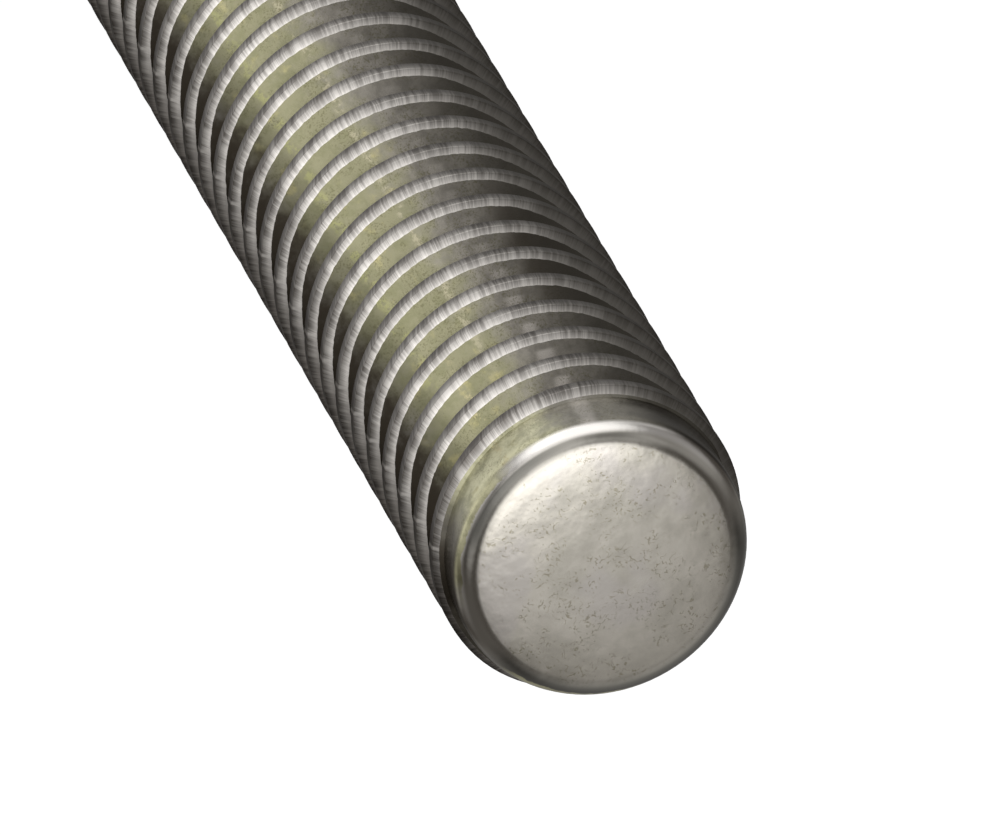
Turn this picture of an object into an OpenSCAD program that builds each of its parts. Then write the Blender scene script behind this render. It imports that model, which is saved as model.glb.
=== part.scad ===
// Threaded rod: a plain steel bar with one right-hand screw thread rolled along
// its whole length, and a short rounded plain point at each end.
// It stands on its lower end: the foot is at z = 0 and the axis is +Z.

/* [Rod] */
// Overall length, end face to end face
length = 50.8; // [20:0.1:100]

/* [Thread] */
// Outside diameter over the crests
major_d = 6.35; // [5:0.05:9]
// Distance from one crest to the next
pitch = 1.27; // [0.9:0.01:1.6]
// Angle between the two flanks of a groove, in degrees
flank_angle = 60; // [50:1:70]
// Width of the flat left on each crest
crest_w = 0.24; // [0.08:0.01:0.3]
// Width of the flat at the bottom of each groove
root_w = 0.24; // [0.15:0.01:0.45]
// Part of a turn over which the thread fades in and out, in degrees
fade_turn = 70; // [40:5:180]

/* [Ends] */
// Diameter of the plain point at each end
point_d = 5.92; // [4.9:0.01:6.2]
// Plain length from the end face to where the thread begins
plain_len = 0.72; // [0.65:0.01:4]
// Radius of the rounding round the end face
edge_r = 0.55; // [0.1:0.05:0.6]

/* [Facets] */
// Most triangles that the thread may take; a longer thread gets fewer to a turn
thread_facets = 10500; // [6000:500:11000]
// Steps in the rounding of each end
edge_steps = 5; // [2:1:6]

/* [Hidden] */

// The thread is a ribbon of ROWS points across, wound round the rod as a helix.
// Across one pitch it goes: near foot, near crest, far crest, far foot.
ROWS = 4;
NEAR_FOOT = 0;
FAR_FOOT = ROWS - 1;
FULL_TURN = 360;
QUARTER = 90;
TRIANGLES_PER_STEP = 2 * ROWS;

major_r = major_d / 2;
point_r = point_d / 2;
flank_slope = tan(flank_angle / 2);
thread_depth = (pitch - crest_w - root_w) / 2 / flank_slope;
root_r = major_r - thread_depth;

// Half width of the ridge where it leaves the plain point
ridge_half = crest_w / 2 + (major_r - point_r) * flank_slope;
// Height of the middle of the ridge where the thread begins
ridge_z0 = plain_len + ridge_half;
turns = (length - 2 * ridge_z0) / pitch;

// Steps round the rod: a multiple of 4, so that points lie on both X and Y
steps = 4 * max(3, floor(thread_facets / TRIANGLES_PER_STEP / turns / 4));
step_angle = FULL_TURN / steps;
rise = pitch / steps;
last = floor(turns * steps);

// 0 before the start, a smooth S over fade_turn, then 1. Both count in steps.
function ease(x) = x <= 0 ? 0 : x >= 1 ? 1 : x * x * (3 - 2 * x);
function fade(s, end) = ease(min(s, end - s) * step_angle / fade_turn);

// Radii on step s: the ridge rises from the plain point, the groove sinks from it
function ridge_r(s) = point_r + (major_r - point_r) * fade(s, last);
function groove_r(s) = point_r - (point_r - root_r) * fade(s, last - steps);

// How far a flank at radius r stands from the middle of its ridge
function flank_at(r) = crest_w / 2 + (major_r - r) * flank_slope;

// [radius, height from the middle of the ridge] of one point of the ribbon
function across(s, row) =
    row == NEAR_FOOT ? let (r = groove_r(s - steps)) [r, -flank_at(r)] :
    row == FAR_FOOT ? let (r = groove_r(s)) [r, flank_at(r)] :
    [ridge_r(s), (row == 1 ? -1 : 1) * crest_w / 2];

function around(r, s, z) =
    [r * cos(s * step_angle), r * sin(s * step_angle), z];

function ribbon_point(s, row) =
    let (p = across(s, row)) around(p[0], s, ridge_z0 + s * rise + p[1]);

// Rounding between end face and plain point: [radius, distance from the face]
function edge_at(k) =
    let (a = QUARTER * k / edge_steps)
    [point_r - edge_r + edge_r * sin(a), edge_r * (1 - cos(a))];

// All points: foot rings, ribbon, then top rings, each ring from face to point
rings = edge_steps + 1;
foot_points = [for (k = [0:edge_steps], s = [0:steps - 1])
    let (e = edge_at(k)) around(e[0], s, e[1])];
ribbon_points = [for (s = [0:last], row = [0:FAR_FOOT]) ribbon_point(s, row)];
top_points = [for (k = [0:edge_steps], s = [0:steps - 1])
    let (e = edge_at(k)) around(e[0], s, length - e[1])];

// Index of a point in that list
function foot(k, s) = k * steps + s % steps;
function ribbon(s, row) = rings * steps + s * ROWS + row;
function top(k, s) = rings * steps + (last + 1) * ROWS + k * steps + s % steps;

// A four-sided patch as two triangles
function patch(a, b, c, d) = [[a, b, c], [a, c, d]];
// Triangles from one point to each link of a chain of points
function fan(hub, chain) =
    [for (i = [0:len(chain) - 2]) [hub, chain[i + 1], chain[i]]];

end_faces = [
    [for (s = [0:steps - 1]) foot(0, s)],
    [for (s = [steps - 1:-1:0]) top(0, s)]
];
edge_faces = [for (k = [0:edge_steps - 1], s = [0:steps - 1]) each concat(
    patch(foot(k, s), foot(k + 1, s), foot(k + 1, s + 1), foot(k, s + 1)),
    patch(top(k, s), top(k, s + 1), top(k + 1, s + 1), top(k + 1, s))
)];
// Near flank, crest and far flank
ridge_faces = [for (s = [0:last - 1], row = [0:FAR_FOOT - 1]) each patch(
    ribbon(s, row), ribbon(s, row + 1), ribbon(s + 1, row + 1), ribbon(s + 1, row)
)];
// Bottom of the groove, from one turn's far foot to the next turn's near foot
groove_faces = [for (s = [0:last - steps - 1]) each patch(
    ribbon(s, FAR_FOOT), ribbon(s + steps, NEAR_FOOT),
    ribbon(s + steps + 1, NEAR_FOOT), ribbon(s + 1, FAR_FOOT)
)];

// Plain collar between the foot's rounding and the first turn. Its last step
// meets the ribbon's start edge, so it is a fan along that edge.
foot_start = [foot(edge_steps, 0), for (row = [0:FAR_FOOT]) ribbon(0, row),
    ribbon(steps, NEAR_FOOT), ribbon(steps - 1, NEAR_FOOT)];
foot_collar = concat(
    [for (s = [0:steps - 2]) each patch(
        foot(edge_steps, s), ribbon(s, NEAR_FOOT),
        ribbon(s + 1, NEAR_FOOT), foot(edge_steps, s + 1)
    )],
    fan(foot(edge_steps, steps - 1), foot_start)
);
// The same at the top, where the ribbon's end edge comes first
top_start = [top(edge_steps, last), for (row = [FAR_FOOT:-1:0]) ribbon(last, row),
    ribbon(last - steps, FAR_FOOT), ribbon(last - steps + 1, FAR_FOOT)];
top_collar = concat(
    [for (s = [last - steps + 1:last - 1]) each patch(
        ribbon(s, FAR_FOOT), top(edge_steps, s),
        top(edge_steps, s + 1), ribbon(s + 1, FAR_FOOT)
    )],
    fan(top(edge_steps, last - steps + 1), top_start)
);

module rod() {
    color("silver")
        polyhedron(
            points = concat(foot_points, ribbon_points, top_points),
            faces = concat(end_faces, edge_faces, ridge_faces, groove_faces,
                foot_collar, top_collar),
            convexity = 10
        );
}

rod();
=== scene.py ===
"""A short length of threaded rod, bare steel, standing on its end.

One piece: the bar with its rolled thread. The thread's profile is drawn once and a Geometry
Nodes tree winds it round the rod. Lengths are in metres.
"""

import math

import bpy
from mathutils import Matrix, Vector

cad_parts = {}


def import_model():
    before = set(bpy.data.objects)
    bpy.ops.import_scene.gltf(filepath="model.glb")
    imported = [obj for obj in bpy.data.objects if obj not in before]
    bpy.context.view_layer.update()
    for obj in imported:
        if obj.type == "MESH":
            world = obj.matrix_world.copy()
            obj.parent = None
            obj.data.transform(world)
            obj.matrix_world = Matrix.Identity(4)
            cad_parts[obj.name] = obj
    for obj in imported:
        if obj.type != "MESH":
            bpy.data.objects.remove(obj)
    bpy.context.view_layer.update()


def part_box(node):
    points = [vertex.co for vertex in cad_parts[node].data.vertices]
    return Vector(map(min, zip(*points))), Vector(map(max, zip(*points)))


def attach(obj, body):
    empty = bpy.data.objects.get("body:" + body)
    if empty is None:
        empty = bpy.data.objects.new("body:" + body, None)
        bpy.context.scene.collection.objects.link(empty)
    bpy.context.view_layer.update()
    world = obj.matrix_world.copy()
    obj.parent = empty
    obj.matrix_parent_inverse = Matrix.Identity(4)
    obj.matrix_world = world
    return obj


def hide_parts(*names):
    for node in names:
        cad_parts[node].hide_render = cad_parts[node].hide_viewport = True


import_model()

MM = 0.001
ROD_NODE = "rod"
BODY = "root"

# ---------------------------------------------------------------- sizes of the rod
LOW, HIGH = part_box(ROD_NODE)
LENGTH = HIGH[2] - LOW[2]
MAJOR_R = (HIGH[0] - LOW[0]) / 2
PITCH = 1.27 * MM
FLANK_SLOPE = math.tan(math.radians(30))  # sideways run of a flank for each unit of depth
CREST_W = 0.24 * MM
ROOT_W = 0.24 * MM
POINT_R = 2.96 * MM
PLAIN_LEN = 0.72 * MM
EDGE_R = 0.50 * MM  # rounding round the end face
DOME = math.radians(5)  # slope of the slightly domed end face where the rounding begins
FACE_R = POINT_R - EDGE_R * (1 - math.sin(DOME))
FADE_TURN = math.radians(70)
SHOULDER_R = MAJOR_R - 0.014 * MM  # where the rounding of a ridge's edge begins
CREST_TOP_W = 0.20 * MM
BRIGHT_R = 0.959 * MAJOR_R  # ridges are rubbed bright from here outwards

STEPS = 96  # steps of the fine mesh round one turn
EDGE_STEPS = 10
FACE_STEPS = 8
CREST_STEPS = 3
WELD = 0.0001 * MM
SHARP_ANGLE = math.radians(40)  # edges that bend more than this are drawn sharp


# ---------------------------------------------------------------- nodes written as Python
class Value:
    """The output of a node. Operators on it add Math nodes to the same tree."""

    def __init__(self, graph, socket):
        self.graph = graph
        self.socket = socket

    def __add__(self, other):
        return self.graph.math("ADD", self, other)

    def __sub__(self, other):
        return self.graph.math("SUBTRACT", self, other)

    def __mul__(self, other):
        return self.graph.math("MULTIPLY", self, other)

    def __truediv__(self, other):
        return self.graph.math("DIVIDE", self, other)

    def __rsub__(self, other):
        return self.graph.math("SUBTRACT", other, self)

    def __rtruediv__(self, other):
        return self.graph.math("DIVIDE", other, self)

    def __neg__(self):
        return 0 - self

    def __abs__(self):
        return self.graph.math("ABSOLUTE", self)

    def __lt__(self, other):
        return self.graph.math("LESS_THAN", self, other)

    def __gt__(self, other):
        return self.graph.math("GREATER_THAN", self, other)

    __radd__ = __add__
    __rmul__ = __mul__


class Graph:
    """Adds nodes and links to one tree."""

    def __init__(self, tree):
        self.tree = tree

    def node(self, kind, settings=None, inputs=None, output=0):
        """Adds a node, sets it up, fills its sockets, and returns one of its outputs."""
        made = self.tree.nodes.new(kind)
        for name, setting in (settings or {}).items():
            setattr(made, name, setting)
        for name, given in (inputs or {}).items():
            if isinstance(given, Value):
                self.tree.links.new(given.socket, made.inputs[name])
            else:
                made.inputs[name].default_value = given
        return Value(self, made.outputs[output]) if made.outputs else None

    def math(self, operation, *terms):
        return self.node("ShaderNodeMath", {"operation": operation}, dict(enumerate(terms)))

    def vector(self, operation, *terms, output=0, scale=None):
        settings = {"operation": operation}
        inputs = dict(enumerate(terms))
        if scale is not None:
            inputs["Scale"] = scale
        return self.node("ShaderNodeVectorMath", settings, inputs, output)

    def rays(self, *kinds):
        """1 for rays of each kind, else 0."""
        outputs = self.node("ShaderNodeLightPath").socket.node.outputs
        return [Value(self, outputs[kind]) for kind in kinds]

    def smooth(self, value, low, high):
        """0 below low, 1 above high, an S between them."""
        inputs = {"Value": value, "From Min": low, "From Max": high}
        return self.node("ShaderNodeMapRange", {"interpolation_type": "SMOOTHSTEP"}, inputs)

    def split(self, vector):
        """The x, y and z of a vector."""
        outputs = self.node("ShaderNodeSeparateXYZ", inputs={0: vector}).socket.node.outputs
        return [Value(self, outputs[axis]) for axis in "XYZ"]

    def join(self, x, y, z):
        return self.node("ShaderNodeCombineXYZ", inputs={0: x, 1: y, 2: z})

    def blend(self, amount, first, second):
        """Mixes two colours."""
        inputs = {0: amount, 6: self.colour(first), 7: self.colour(second)}
        return self.node("ShaderNodeMix", {"data_type": "RGBA"}, inputs, output=2)

    @staticmethod
    def colour(given):
        return (*given, 1) if isinstance(given, tuple) and len(given) == 3 else given


# ---------------------------------------------------------------- the thread's profile
def flank_at(radius):
    """How far a flank at this radius stands from the middle of its ridge."""
    return CREST_W / 2 + (MAJOR_R - radius) * FLANK_SLOPE


def thread_profile():
    """Points across one ridge, from foot to foot: (radius, height from its middle)."""
    root_r = MAJOR_R - (PITCH - CREST_W - ROOT_W) / 2 / FLANK_SLOPE
    shoulder_half = flank_at(SHOULDER_R)
    top_half = CREST_TOP_W / 2
    half = [(root_r, flank_at(root_r)), (POINT_R, flank_at(POINT_R))]
    for k in range(CREST_STEPS + 1):
        turn = math.pi / 2 * k / CREST_STEPS
        across = top_half + (shoulder_half - top_half) * math.cos(turn)
        half.append((SHOULDER_R + (MAJOR_R - SHOULDER_R) * math.sin(turn), across))
    return [(r, -z) for r, z in half] + [(r, z) for r, z in reversed(half)]


def profile_object():
    mesh = bpy.data.meshes.new("threaded_rod")
    points = thread_profile()
    edges = [(k, k + 1) for k in range(len(points) - 1)]
    mesh.from_pydata([(r, 0, z) for r, z in points], edges, [])
    made = bpy.data.objects.new("threaded_rod", mesh)
    bpy.context.collection.objects.link(made)
    return made


# ---------------------------------------------------------------- winding it round the rod
class Winding(Graph):
    """The tree that takes a profile and returns the whole rod. Rows and steps are whole
    numbers, so tests on them are made half a step off."""

    INPUTS = {
        "Steps per turn": "NodeSocketInt",
        "Last step": "NodeSocketInt",
        "Pitch": "NodeSocketFloat",
        "First height": "NodeSocketFloat",
        "Length": "NodeSocketFloat",
        "Point radius": "NodeSocketFloat",
        "Base half width": "NodeSocketFloat",
        "Face radius": "NodeSocketFloat",
        "Dome slope": "NodeSocketFloat",
        "Edge radius": "NodeSocketFloat",
        "Face steps": "NodeSocketInt",
        "Edge steps": "NodeSocketInt",
        "Fade steps": "NodeSocketFloat",
        "Material": "NodeSocketMaterial",
    }

    def __init__(self):
        super().__init__(bpy.data.node_groups.new("wind_thread", "GeometryNodeTree"))
        face = self.tree.interface
        face.new_socket("Geometry", in_out="INPUT", socket_type="NodeSocketGeometry")
        for name, kind in self.INPUTS.items():
            face.new_socket(name, in_out="INPUT", socket_type=kind)
        face.new_socket("Geometry", in_out="OUTPUT", socket_type="NodeSocketGeometry")
        entry = self.tree.nodes.new("NodeGroupInput")
        self.given = {s.name: Value(self, s) for s in entry.outputs if s.name}
        self.steps = self.given["Steps per turn"]
        self.last = self.given["Last step"]
        self.point_r = self.given["Point radius"]
        inputs = {"Geometry": self.given["Geometry"]}
        self.rows = self.node("GeometryNodeAttributeDomainSize", inputs=inputs)
        self.finish(self.build())

    def build(self):
        """All the surfaces, each a grid of columns round the rod, welded into one skin."""
        skins = [
            self.ribbon(),
            self.collar(top=False),
            self.collar(top=True),
            self.end(top=False),
            self.end(top=True),
        ]
        joined = self.tree.nodes.new("GeometryNodeJoinGeometry")
        for skin in reversed(skins):
            self.tree.links.new(skin.socket, joined.inputs[0])
        return Value(self, joined.outputs[0])

    def finish(self, skin):
        inputs = {"Geometry": skin, "Distance": WELD}
        skin = self.node("GeometryNodeMergeByDistance", inputs=inputs)
        bend = self.node("GeometryNodeInputMeshEdgeAngle")
        skin = self.node("GeometryNodeSetShadeSmooth", inputs={0: skin, "Shade Smooth": True})
        inputs = {0: skin, "Selection": bend > SHARP_ANGLE, "Shade Smooth": False}
        skin = self.node("GeometryNodeSetShadeSmooth", {"domain": "EDGE"}, inputs)
        skin = self.node("GeometryNodeRealizeInstances", inputs={0: skin})
        inputs = {0: skin, "Material": self.given["Material"]}
        skin = self.node("GeometryNodeSetMaterial", inputs=inputs)
        leave = self.tree.nodes.new("NodeGroupOutput")
        self.tree.links.new(skin.socket, leave.inputs[0])

    def grid(self, columns, rows):
        """A sheet of points, with the column and the row of each."""
        inputs = {"Vertices X": columns, "Vertices Y": rows}
        sheet = self.node("GeometryNodeMeshGrid", inputs=inputs)
        return sheet, *self.column_and_row(rows)

    def column_and_row(self, rows):
        index = self.node("GeometryNodeInputIndex")
        column = self.math("FLOOR", (index + 0.5) / rows)
        return column, index - column * rows

    def place(self, sheet, radius, step, height):
        """Sets the points of a sheet at a radius, a step round the rod and a height."""
        turn = step * math.tau / self.steps
        x = radius * self.math("COSINE", turn)
        y = radius * self.math("SINE", turn)
        inputs = {0: sheet, "Position": self.join(x, y, height)}
        return self.node("GeometryNodeSetPosition", inputs=inputs)

    @staticmethod
    def choose(test, if_not, if_so):
        """One number or the other, where test is 0 or 1."""
        return if_not + test * (if_so - if_not)

    def thread_point(self, step, row):
        """Radius and height of a profile point on one step of the helix. The ridge rises
        from the plain point and the groove beside it sinks, each over the fade's steps."""
        settings = {"data_type": "FLOAT_VECTOR"}
        place = self.node("GeometryNodeInputPosition")
        inputs = {0: self.given["Geometry"], "Value": place, "Index": row}
        r, _, z = self.split(self.node("GeometryNodeSampleIndex", settings, inputs))
        in_groove = r < self.point_r - WELD
        start = step - self.steps * (z < 0) * in_groove
        end = self.last - in_groove * self.steps - start
        grown = self.smooth(self.math("MINIMUM", start, end), 0.0, self.given["Fade steps"])
        base_z = self.math("SIGN", z) * self.given["Base half width"]
        radius = self.point_r + (r - self.point_r) * grown
        across = self.choose(in_groove, z, base_z + (z - base_z) * grown)
        rise = self.given["Pitch"] * step / self.steps
        return radius, self.given["First height"] + rise + across

    def ribbon(self):
        """Ridge and groove, all the way along the helix. The sheet's last row is the foot of
        the next turn, which closes the groove's floor, so the last turn has no such row."""
        sheet, step, row = self.grid(self.last + 1, self.rows + 1)
        beyond = row > self.rows - 0.5
        radius, height = self.thread_point(step + self.steps * beyond, row * (1 - beyond))
        skin = self.place(sheet, radius, step, height)
        face_step, face_row = self.column_and_row(self.rows)
        last_turn = face_step > self.last - self.steps - 0.5
        inputs = {0: skin, "Selection": last_turn * (face_row > self.rows - 1.5)}
        return self.node("GeometryNodeDeleteGeometry", {"domain": "FACE"}, inputs)

    def collar(self, top):
        """Plain band between an end's rounding and the first turn. Above its first two rows,
        the others start together and spread to meet the cut edge of the ribbon a turn on."""
        sheet, column, row = self.grid(self.steps + 1, self.rows + 2)
        link = self.math("MAXIMUM", row - 1, 0.0)
        _, rim_depth = self.end_point(self.given["Face steps"] + self.given["Edge steps"])
        beyond = link > self.rows - 0.5
        if top:
            foot_step, foot_row = self.last, self.rows - 1
            rim = self.given["Length"] - rim_depth
            chain_step = self.last - self.steps * beyond
            chain_row = self.choose(beyond, foot_row - link, foot_row)
            step = self.last - column
        else:
            foot_step, foot_row = 0.0, 0
            rim = rim_depth
            chain_step = self.steps * beyond
            chain_row = link * (1 - beyond)
            step = column
        _, foot = self.thread_point(foot_step, foot_row)
        _, chain = self.thread_point(chain_step, chain_row)
        spread = foot + (chain - foot) * column / self.steps
        height = self.choose(row > 0.5, rim, spread)
        return self.place(sheet, self.point_r, step, height)

    def end_point(self, row):
        """Radius and depth below the end of a row of the end face, from its middle outwards:
        a shallow dome, then a tighter rounding that starts at the dome's slope."""
        face_steps, slope = self.given["Face steps"], self.given["Dome slope"]
        edge = self.given["Edge radius"]
        dome = self.given["Face radius"] / self.math("SINE", slope)
        on_dome = slope * self.math("MINIMUM", row / face_steps, 1.0)
        past = self.math("MAXIMUM", row - face_steps, 0.0) / self.given["Edge steps"]
        on_edge = slope + (math.pi / 2 - slope) * past
        sine = [self.math("SINE", angle) for angle in (on_dome, on_edge, slope)]
        cosine = [self.math("COSINE", angle) for angle in (on_dome, on_edge, slope)]
        radius = dome * sine[0] + edge * (sine[1] - sine[2])
        depth = dome * (1 - cosine[0]) + edge * (cosine[2] - cosine[1])
        return radius, depth

    def end(self, top):
        """End face and the rounding round it."""
        rows = self.given["Face steps"] + self.given["Edge steps"] + 1
        sheet, column, row = self.grid(self.steps + 1, rows)
        radius, depth = self.end_point(row)
        if top:
            return self.place(sheet, radius, self.last - column, self.given["Length"] - depth)
        return self.place(sheet, radius, column, depth)


def build_rod(material):
    """Winds the profile into the rod's mesh."""
    made = profile_object()
    tree = Winding().tree
    base_half = flank_at(POINT_R)
    first_height = PLAIN_LEN + base_half
    last = math.floor((LENGTH - 2 * first_height) / PITCH * STEPS)
    sizes = {
        "Steps per turn": STEPS,
        "Last step": last,
        "Pitch": PITCH,
        "First height": first_height,
        "Length": LENGTH,
        "Point radius": POINT_R,
        "Base half width": base_half,
        "Face radius": FACE_R,
        "Dome slope": DOME,
        "Edge radius": EDGE_R,
        "Face steps": FACE_STEPS,
        "Edge steps": EDGE_STEPS,
        "Fade steps": FADE_TURN / math.tau * STEPS,
        "Material": material,
    }
    winding = made.modifiers.new("wind_thread", "NODES")
    winding.node_group = tree
    for item in tree.interface.items_tree:
        if item.in_out == "INPUT" and item.name in sizes:
            winding[item.identifier] = sizes[item.name]
    seen = bpy.context.evaluated_depsgraph_get()
    mesh = bpy.data.meshes.new_from_object(made.evaluated_get(seen))
    made.modifiers.clear()
    made.data = mesh
    return made


# ---------------------------------------------------------------- steel
# bright crest steel: the painted highlight of each ridge and the painted glint line are drawn in
# it
BRIGHT_STEEL = (0.98, 0.94, 0.89)
# the dark end of the painted shade across each crest
CREST_SHADE_STEEL = (0.08, 0.071, 0.060)
FACE_STEEL = (0.90, 0.855, 0.765)
CLOUDED_STEEL = (0.75, 0.715, 0.63)
GREY_STEEL = (0.335, 0.312, 0.272)
STREAK = (0.068, 0.058, 0.050)
NECK_STEEL = (0.32, 0.30, 0.25)
# olive film, partly a painted reflection of yellow-green light
OLIVE_FILM_AND_REFLECTION = (0.315, 0.302, 0.192)
PALE_OLIVE_FILM_AND_REFLECTION = (0.68, 0.655, 0.43)
YELLOW_FILM = (0.46, 0.42, 0.22)
DARK_PIT = (0.16, 0.15, 0.08)
FACE_PIT = (0.34, 0.30, 0.17)
# dark grey for the banks of dirt and for the painted shade on two sides
DIRT_AND_SHADE = (0.090, 0.075, 0.056)
# painted shade on the -Y side of the thread
MINUS_Y_SHADE = (0.115, 0.106, 0.090)
DEEP_OLIVE = (0.22, 0.22, 0.12)
ORANGE_FILM = (0.60, 0.53, 0.31)
GREEN_FILM = (0.46, 0.46, 0.20)
CREAM_FILM = (0.58, 0.53, 0.38)
# pale steel of a painted glint stripe in the grooves and on the neck
GLINT_STEEL = (0.62, 0.58, 0.53)
# painted shade and painted light on the ring round the end face
DARK_RING_SHADE = (0.17, 0.165, 0.15)
LIGHT_RING_SHADE = (0.37, 0.355, 0.32)
SIDE_RING_LIGHT = (0.70, 0.67, 0.61)
BACK_RING_SHADE = (0.15, 0.145, 0.13)
RIM_STEEL = (0.93, 0.90, 0.86)
LILAC_STEEL = (0.83, 0.785, 0.75)

# Ways round from +X at which each stain and mark, each band of painted shade and each painted
# glint has its middle.
# middle of the olive film, partly a painted reflection
FILM_AND_REFLECTION_SIDE = math.radians(17)
# middle of the painted shade in the grooves on two sides
SHADE_SIDE = math.radians(62)
GRIME_SIDE = math.radians(-50)
# a painted glint stripe in the grooves and on the neck
GROOVE_GLINT_SIDE = math.radians(-23)
# a painted glint line along the crests
CREST_GLINT_SIDE = math.radians(59)

# Stripes of film in the grooves: the way round, half the width as a share of the radius,
# whether near an end or far from it, the strength and the colour.
GROOVE_STRIPES = [
    (math.radians(12.7), 0.03, "near", 0.7, ORANGE_FILM),
    (math.radians(23), 0.04, "far", 0.5, GREEN_FILM),
    (math.radians(-1.5), 0.03, "far", 0.55, CREAM_FILM),
]

STREAK_SLANT = 0.45  # sideways run of a streak for each unit that it goes along the rod
SHINE_FADE = 4.5  # how fast a ridge's painted highlight falls into painted shade, for each mm from its bright edge
SHINE_EDGE = 0.195  # height of that painted bright edge over the middle of the ridge, in mm
RAGGED_BORDER = 0.17  # how ragged the border of a stain is
MOTTLE = 0.45  # strength of the dark patches in grey steel, and what they leave of its colour
PLAIN_ROUGHNESS = 0.24
CREST_ROUGHER = 0.06
END_SMOOTHER = 0.06
MATTE_FILM = 0.65  # share of the neck's film that is not metallic


class Steel(Graph):
    """Rolled crests painted from highlight to shade across each ridge, grooves with an olive
    film that is partly a painted reflection and with painted shade at the sides, a pitted end
    face, and a ring of painted shade on its edge.
    Patterns are laid out in millimetres. out_x and out_y say which side of the rod a place
    is on: +X is the front."""

    def __init__(self, name):
        material = bpy.data.materials.new(name)
        material.use_nodes = True
        super().__init__(material.node_tree)
        self.tree.nodes.clear()
        self.material = material
        place = self.node("ShaderNodeTexCoord", output=3)
        self.place = self.vector("MULTIPLY", place, (1 / MM,) * 3)
        x, y, self.height = self.split(self.place)
        self.radius = self.math("SQRT", x * x + y * y)
        self.out_x, self.out_y = x / self.radius, y / self.radius
        self.depth = self.math("MINIMUM", self.height, LENGTH / MM - self.height)
        turn = self.math("ARCTAN2", y, x) / math.tau
        first = (PLAIN_LEN + flank_at(POINT_R)) / MM
        pitch = PITCH / MM
        along = (self.height - first) / pitch - turn + 0.5
        self.from_crest = (self.math("FRACT", along) - 0.5) * pitch
        self.to_end = self.math("SIGN", self.height - LENGTH / MM / 2) * self.from_crest
        self.blotches = (self.noise(self.place, 0.9, detail=3.0) - 0.5) * 0.12
        self.shade()

    def noise(self, place, scale, detail=2.0, roughness=0.5, distortion=0.0):
        inputs = {
            "Vector": place,
            "Scale": scale,
            "Detail": detail,
            "Roughness": roughness,
            "Distortion": distortion,
        }
        return self.node("ShaderNodeTexNoise", inputs=inputs)

    def patches(self, scale, low, high, detail=3.0, roughness=0.5):
        """Soft patches. The fewer, the higher the two limits are. 1 in a patch."""
        return self.smooth(self.noise(self.place, scale, detail, roughness), low, high)

    def toward(self, middle):
        """1 on the side of the rod that faces the middle angle, -1 on the opposite one."""
        return self.out_x * math.cos(middle) + self.out_y * math.sin(middle)

    def side(self, middle, full, gone):
        """1 on the two sides of the rod that face the middle angle and its opposite."""
        low, high = math.cos(math.radians(gone)), math.cos(math.radians(full))
        ragged = self.noise(self.place, 3.0, detail=4.0, roughness=0.65) - 0.5
        reach = abs(self.toward(middle)) + self.blotches + ragged * RAGGED_BORDER
        return self.smooth(reach, low, high)

    def stripe(self, middle, half_width):
        """A narrow ragged stripe along the rod. 1 in the stripe."""
        across = self.out_y * math.cos(middle) - self.out_x * math.sin(middle)
        wobble = (self.noise(self.place, 2.5) - 0.5) * half_width
        apart = self.smooth(abs(across + wobble), half_width * 0.3, half_width * 1.6)
        return (1 - apart) * (self.toward(middle) > 0.0)

    def streaks(self):
        """Fine marks that run across the crests, a little aslant. 1 in a mark."""
        rim = MAJOR_R / MM
        slant = self.from_crest * (STREAK_SLANT / rim) * self.smooth(self.out_y, -0.3, 0.6)
        x = (self.out_x + self.out_y * slant) * rim
        y = (self.out_y - self.out_x * slant) * rim
        z = (self.height - self.from_crest) * 0.6 + self.from_crest * 0.05
        marks = self.join(x, y, z)
        fine = self.noise(marks, 13.0, detail=4.0, roughness=0.8)
        broad = self.noise(marks, 2.2, detail=1.0)
        return self.smooth(fine + broad * 0.35, 0.54, 0.80)

    def pits(self, scale, width, low, high):
        """Short worm-like pits, in patches. 1 in a pit."""
        bent = self.noise(self.place, scale, roughness=0.6, distortion=0.6)
        breaks = self.noise(self.place, scale * 2.6, detail=0.0)
        line = 1 - self.smooth(abs(bent - 0.5), width * 0.35, width)
        patches = self.patches(1.5, low, high, roughness=0.6)
        return line * self.smooth(breaks, 0.46, 0.54) * patches

    def crest_colour(self, first_ridge):
        """Painted highlight and shade: brightest where the side of a ridge that faces the top
        end meets the stain, then darker and darker across the crest. The first ridge and the
        sides get more painted shade."""
        across = (self.radius - BRIGHT_R / MM) * 0.88 + (SHINE_EDGE - self.from_crest) * 0.48
        shade = self.math("EXPONENT", across * -SHINE_FADE)
        shade = shade * (1 - self.smooth(across, 0.15, 0.27) * 0.5)
        first_ridge_shade = self.smooth(self.out_y, 0.15, 0.7) * 0.2 + 0.22
        shade = shade * (1 - first_ridge * first_ridge_shade)
        plus_y_crest_shade = self.smooth(across, 0.0, 0.2) * self.smooth(self.out_y, 0.3, 0.72) * 0.5
        minus_y_crest_shade = self.smooth(across, 0.1, 0.14) * self.smooth(-self.out_y, 0.35, 0.6) * 0.25
        shade = shade * (1 - plus_y_crest_shade) * (1 - minus_y_crest_shade)
        # painted highlight and shade: bright steel at the bright edge, darker and darker across
        # the crest
        colour = self.blend(shade, CREST_SHADE_STEEL, BRIGHT_STEEL)
        colour = self.blend(self.streaks() * (0.95 - shade * 0.62), colour, STREAK)
        # painted glint: a thin bright line along the crests
        return self.blend(self.stripe(CREST_GLINT_SIDE, 0.012) * 0.5, colour, BRIGHT_STEEL)

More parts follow.
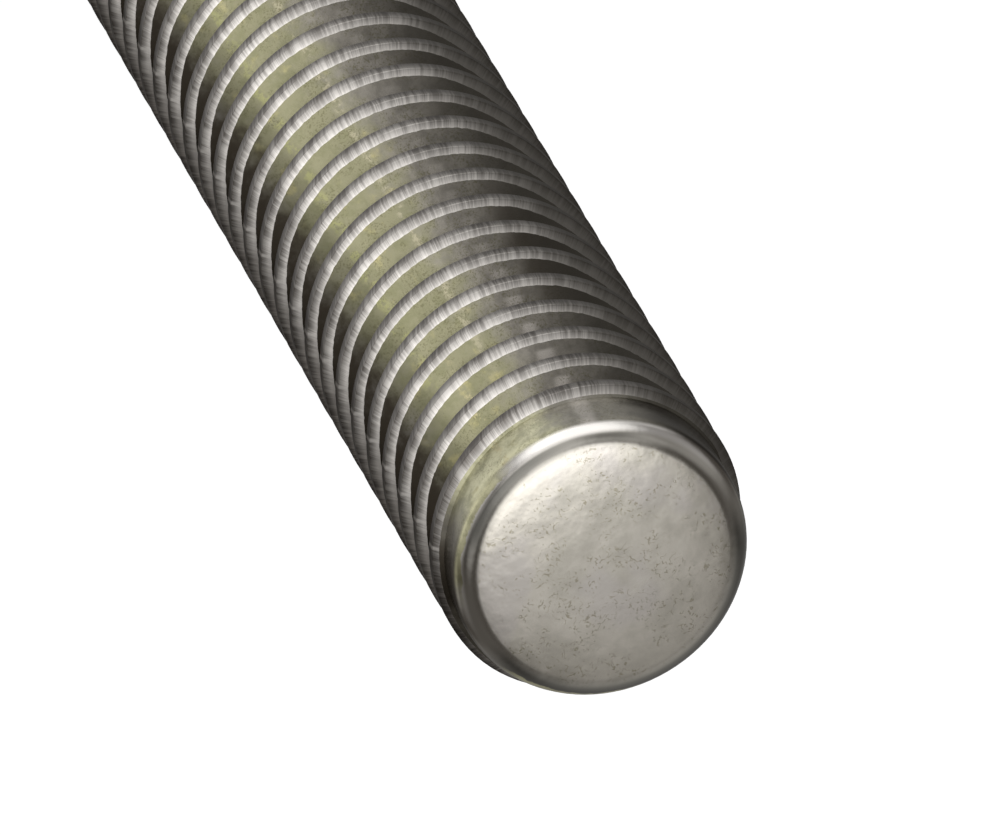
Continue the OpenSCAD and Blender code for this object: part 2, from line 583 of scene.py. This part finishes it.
    def groove_colour(self, grey, olive, pit, dirt_and_shade, glint):
        """Grey steel with an olive film, partly a painted reflection, and dirt and painted
        shade, each on its side of the rod. The last three are the strengths of the pits, of the
        dirt and painted shade, and of the painted glint stripe."""
        film_and_reflection = self.blend(self.patches(2.3, 0.58, 0.74), olive, YELLOW_FILM)
        thick = self.patches(2.6, 0.42, 0.66, detail=5.0, roughness=0.75)
        film_and_reflection = self.blend(thick * 0.55, film_and_reflection, DEEP_OLIVE)
        mottled = self.patches(2.8, 0.40, 0.62, detail=5.0, roughness=0.7)
        grey = self.blend(mottled * MOTTLE, grey, tuple(MOTTLE * part for part in grey))
        # painted glint: a pale stripe near the roots of the grooves, fading away from the ends
        fading = 0.85 - self.smooth(self.depth, 4.0, 11.0) * 0.6
        grey = self.blend(self.stripe(GROOVE_GLINT_SIDE, 0.055) * glint * fading, grey, GLINT_STEEL)
        # olive film on two sides of the rod, partly a painted reflection
        colour = self.blend(self.side(FILM_AND_REFLECTION_SIDE, 10, 34), grey, film_and_reflection)
        loose = self.patches(5.5, 0.45, 0.60, detail=4.0, roughness=0.7)
        reach = {
            "near": 1 - self.smooth(self.depth, 3.5, 6.0),
            "far": self.smooth(self.depth, 3.0, 6.0),
        }
        for middle, half_width, where, strength, tint in GROOVE_STRIPES:
            amount = self.stripe(middle, half_width) * loose * reach[where] * strength
            colour = self.blend(amount, colour, tint)
        colour = self.blend(pit, colour, DARK_PIT)
        return self.blend(self.darkening() * dirt_and_shade, colour, DIRT_AND_SHADE)

    def darkening(self):
        """Painted shade on two sides, and banks of dirt on a third: one near each end, the rest
        far off.
        """
        banks = self.noise(self.join(0.0, 0.0, self.height), 0.3, detail=1.0)
        banks = self.smooth(banks, 0.48, 0.60) * self.smooth(self.depth, 13.0, 17.0)
        bank = self.smooth(self.depth, 5.0, 7.0) * (1 - self.smooth(self.depth, 9.5, 13.0))
        darkening = self.smooth(self.toward(GRIME_SIDE), 0.93, 0.99) * (banks + bank) * 0.85
        # painted shade on the two sides of the rod around this angle, with the banks of dirt
        return self.math("MAXIMUM", darkening, self.side(SHADE_SIDE, 10, 30))

    def end_colour(self, pit):
        """Clouded steel with pits, and a dark ring of painted shade on the rounding, with
        painted light at the sides and deeper painted shade at the back. The ring stops towards
        +X, where the lamps' highlight falls, and an olive film, partly a painted reflection,
        lies torn towards +Y."""
        clouds = self.patches(0.9, 0.38, 0.66, detail=4.0, roughness=0.6)
        colour = self.blend(clouds, FACE_STEEL, CLOUDED_STEEL)
        colour = self.blend(self.patches(0.55, 0.47, 0.60) * 0.6, colour, LILAC_STEEL)
        ring = (self.radius - FACE_R / MM) / (EDGE_R / MM)
        colour = self.blend(pit * (1 - self.smooth(ring, 0.0, 0.3) * 0.8), colour, FACE_PIT)
        # no painted shade towards +X, where the lamps' highlight falls
        clean = self.smooth(ring, 0.50, 0.68) * self.smooth(self.out_x, -0.2, 0.4)
        clean = clean * (1 - self.smooth(self.out_y, 0.5, 0.7) * 0.5)
        # painted shade on the ring, darker towards +Y
        dark = self.smooth(self.out_y, -0.45, 0.35)
        dark = dark * (1 - self.smooth(self.out_y, 0.65, 0.85) * 0.7)
        ring_shade_colour = self.blend(dark, LIGHT_RING_SHADE, DARK_RING_SHADE)
        # painted light on the ring at the sides
        beside = self.smooth(abs(self.out_y - 0.08), 0.60, 0.88)
        beside = beside * self.smooth(self.out_x, -0.5, -0.1)
        ring_shade_colour = self.blend(beside, ring_shade_colour, SIDE_RING_LIGHT)
        # deeper painted shade on the ring at the back
        behind = self.smooth(-self.out_x, 0.05, 0.5) * self.smooth(ring, -0.2, 0.4)
        ring_shade_colour = self.blend(behind, ring_shade_colour, BACK_RING_SHADE)
        # the ring of painted shade on the rounding
        scale = self.smooth(ring, -0.2, 0.42) * (1 - clean)
        colour = self.blend(scale, colour, ring_shade_colour)
        colour = self.blend(clean, colour, RIM_STEEL)
        # olive film towards +Y on the rounding, partly a painted reflection
        way = self.out_y + self.blotches
        film_and_reflection = self.smooth(way, 0.15, 0.38) * (1 - self.smooth(way, 0.86, 0.98))
        thick = self.patches(3.4, 0.42, 0.68, detail=5.0, roughness=0.75)
        film_and_reflection_colour = self.blend(thick * 0.5, PALE_OLIVE_FILM_AND_REFLECTION, DEEP_OLIVE)
        torn = ring + (self.noise(self.place, 2.6, detail=4.0, roughness=0.6) - 0.5) * 0.34
        return self.blend(film_and_reflection * self.smooth(torn, 0.62, 0.67), colour, film_and_reflection_colour)

    def crest_mask(self, first_ridge):
        """1 on the rubbed tops of the ridges. They reach further down on the sides of the rod
        and on the ridge nearest an end."""
        near_end = first_ridge * (1 - self.smooth(self.out_y, 0.3, 0.75))
        edge = BRIGHT_R / MM + near_end * (POINT_R + 0.05 * MM - BRIGHT_R) / MM
        ragged = (self.noise(self.place, 7.0) - 0.5) * 0.03 * (1 - near_end)
        sideways = self.smooth(abs(self.out_y), 0.64, 0.98)
        edge = edge - sideways * (1 - first_ridge) * 0.07
        return self.smooth(self.radius + ragged, edge - 0.004, edge + 0.004)

    def neck_mask(self, first_ridge):
        """1 on the plain point and on the side of the first ridge that faces the end."""
        neck = self.radius < (POINT_R + 0.004 * MM) / MM
        in_neck = (self.depth < (PLAIN_LEN + PITCH / 2) / MM) * neck
        return self.math("MAXIMUM", in_neck, first_ridge * (self.to_end > -0.1))

    def end_mask(self):
        """1 on the end face and on most of its rounding."""
        low, high = FACE_R + 0.79 * EDGE_R, FACE_R + 0.88 * EDGE_R
        rim = self.smooth(self.radius, low / MM, high / MM)
        return (self.depth < (EDGE_R + 0.1 * MM) / MM) * (1 - rim)

    def shade(self):
        """Joins the parts of the rod into one colour and feeds the shader."""
        first_ridge = self.depth < (PLAIN_LEN + 0.75 * PITCH) / MM
        crest = self.crest_mask(first_ridge)
        in_neck = self.neck_mask(first_ridge)
        on_end = self.end_mask()

        fine_pit = self.pits(10.0, 0.062, 0.41, 0.55)
        face_pit = self.pits(5.0, 0.034, 0.43, 0.56)
        root = 1 - self.smooth(self.radius, 2.88, 2.95)
        groove = self.groove_colour(GREY_STEEL, OLIVE_FILM_AND_REFLECTION, fine_pit * 0.6, 1.0, root)
        # painted shade: the grooves darker towards +Y and towards -Y
        painted_side_shade = self.smooth(self.out_y, 0.28, 0.52) * 0.45
        painted_side_shade = painted_side_shade + self.smooth(-self.out_y, 0.3, 0.8) * 0.5
        groove = self.vector("SCALE", groove, scale=1 - painted_side_shade)
        # strength of the dirt and painted shade on the neck, more far towards +Y
        neck_dirt_and_shade = self.smooth(self.out_y, 0.76, 0.87) * 0.5 + 0.45
        neck = self.groove_colour(NECK_STEEL, PALE_OLIVE_FILM_AND_REFLECTION, fine_pit * 0.45, neck_dirt_and_shade, 0.6)
        colour = self.blend(in_neck, groove, neck)
        colour = self.blend(crest, colour, self.crest_colour(first_ridge))
        # painted shade: the thread darker on the -Y side
        minus_y_side_shade = self.smooth(self.blotches - self.out_y, 0.5, 0.9) * 0.8
        colour = self.blend(minus_y_side_shade, colour, MINUS_Y_SHADE)
        colour = self.blend(on_end, colour, self.end_colour(face_pit * 0.55))

        roughness = PLAIN_ROUGHNESS + crest * (1 - on_end) * CREST_ROUGHER
        roughness = roughness - on_end * END_SMOOTHER
        aside = self.smooth(abs(self.out_y - 0.12), 0.6, 0.9)
        filmed = in_neck * (1 - crest) * (1 - on_end) * (1 - aside)
        waves = self.noise(self.place, 1.4, detail=3.0) * 0.02
        inputs = {"Height": waves, "Strength": 0.5, "Distance": MM}
        bump = self.node("ShaderNodeBump", inputs=inputs)
        inputs = {
            "Base Color": colour,
            "Metallic": 1 - filmed * MATTE_FILM,
            "Roughness": roughness,
            "Normal": bump,
        }
        shader = self.node("ShaderNodeBsdfPrincipled", inputs=inputs)
        self.node("ShaderNodeOutputMaterial", inputs={0: shader})


def steel():
    return Steel("rolled_steel").material


# ---------------------------------------------------------------- studio
# Each softbox or card: the way round from +X and up from level at which it stands, the
# angles from its middle where it is full and where it ends, and its strength.
SOFTBOXES = [
    (180, 70, 6, 22, 0.40),
    (180, 85, 6, 20, 1.35),
    (180, 20, 14, 40, 0.34),
    (8, 57, 10, 32, 1.14),
    (56, 53, 10, 29, 0.37),
    (72, 47, 8, 22, 0.18),
    (-54, 50, 6, 28, 0.25),
    (-65, 72, 8, 22, 0.30),
    (-82, 20, 18, 44, 0.19),
    (-122, 18, 16, 40, 0.06),
    (122, 18, 16, 40, 0.04),
    (-24, 9, 12, 44, 1.08),
    (14, 8, 8, 34, 0.35),
    (48, -30, 10, 32, 0.46),
    (-8, -34, 10, 32, 0.65),
    (-60, -32, 10, 30, 0.40),
    (85, -35, 8, 28, 0.22),
    (52, 0, 10, 34, 0.40),
    (88, -6, 8, 30, 0.07),
    (32, -62, 14, 38, 0.56),
    (-50, -62, 8, 30, 0.21),
    (-100, -62, 6, 22, 0.10),
    (180, -15, 25, 60, 0.26),
]
BACKDROP_IN_STEEL = 0.055  # share of the white backdrop that the steel shows past dark cards
BACKDROP_TINT = (1.0, 0.90, 0.80)
WHITE = (1, 1, 1, 1)


def direction_of(azimuth, elevation):
    azimuth, elevation = math.radians(azimuth), math.radians(elevation)
    level = math.cos(elevation)
    return (level * math.cos(azimuth), level * math.sin(azimuth), math.sin(elevation))


def world():
    """Softboxes in a dark studio, with a white backdrop for the camera."""
    made = bpy.data.worlds.new("studio")
    bpy.context.scene.world = made
    made.use_nodes = True
    made.node_tree.nodes.clear()
    g = Graph(made.node_tree)
    camera_ray, glossy_ray = g.rays("Is Camera Ray", "Is Glossy Ray")
    direction = g.node("ShaderNodeTexCoord")
    level = 0.0
    for azimuth, elevation, full, gone, strength in SOFTBOXES:
        facing = g.vector("DOT_PRODUCT", direction, direction_of(azimuth, elevation), output=1)
        low, high = math.cos(math.radians(gone)), math.cos(math.radians(full))
        level = g.smooth(facing, low, high) * strength + level
    light = g.join(level, level, level)
    dim = tuple(BACKDROP_IN_STEEL * tint for tint in BACKDROP_TINT)
    backdrop = g.vector("SCALE", dim, scale=glossy_ray)
    studio = g.vector("ADD", light, backdrop)
    around = g.node("ShaderNodeBackground", inputs={"Color": studio, "Strength": 1.0})
    white = g.node("ShaderNodeBackground", inputs={"Color": WHITE, "Strength": 1.0})
    both = g.node("ShaderNodeMixShader", inputs={0: camera_ray, 1: around, 2: white})
    g.node("ShaderNodeOutputWorld", inputs={0: both})


FLOOR_SIDE = 3.0
FLOOR_GLOW = 0.68  # the even part of the floor's white; the rest is lit, and takes the shadow
FLOOR_PAINT = (0.8, 0.8, 0.8, 1)


def floor():
    """A white floor that the rod stands on. The steel is lit from below through it."""
    material = bpy.data.materials.new("white_floor")
    material.use_nodes = True
    material.node_tree.nodes.clear()
    g = Graph(material.node_tree)
    (camera_ray,) = g.rays("Is Camera Ray")
    glow = g.node("ShaderNodeEmission", inputs={"Color": WHITE, "Strength": FLOOR_GLOW})
    paint = g.node("ShaderNodeBsdfDiffuse", inputs={"Color": FLOOR_PAINT})
    seen = g.node("ShaderNodeAddShader", inputs={0: glow, 1: paint})
    clear = g.node("ShaderNodeBsdfTransparent")
    both = g.node("ShaderNodeMixShader", inputs={0: camera_ray, 1: clear, 2: seen})
    g.node("ShaderNodeOutputMaterial", inputs={0: both})
    half = FLOOR_SIDE / 2
    corners = [(-half, -half, 0), (half, -half, 0), (half, half, 0), (-half, half, 0)]
    mesh = bpy.data.meshes.new("floor")
    mesh.from_pydata(corners, [], [(0, 1, 2, 3)])
    mesh.materials.append(material)
    made = bpy.data.objects.new("floor", mesh)
    bpy.context.collection.objects.link(made)


CAMERA_LENS = 1338.0
CAMERA_DISTANCE = 0.7273
CAMERA_ELEVATION = math.radians(61.5)
CAMERA_ROLL = math.radians(149.4)
CAMERA_NEAR = 0.01
AIM = Vector((0.0, 0.297 * MM, LENGTH - 7.42 * MM))


def camera():
    data = bpy.data.cameras.new("camera")
    data.lens = CAMERA_LENS
    data.clip_start = CAMERA_NEAR
    made = bpy.data.objects.new("camera", data)
    bpy.context.collection.objects.link(made)
    back = Vector((math.cos(CAMERA_ELEVATION), 0, math.sin(CAMERA_ELEVATION)))
    level_right = Vector((0, 1, 0))
    level_up = back.cross(level_right)
    right = level_right * math.cos(CAMERA_ROLL) + level_up * math.sin(CAMERA_ROLL)
    up = back.cross(right)
    turn = Matrix((right, up, back)).transposed().to_4x4()
    made.matrix_world = Matrix.Translation(AIM + back * CAMERA_DISTANCE) @ turn
    bpy.context.scene.camera = made


camera()
world()
floor()
rod = build_rod(steel())
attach(rod, BODY)
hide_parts(ROD_NODE)

bpy.context.scene.view_settings.view_transform = "Standard"
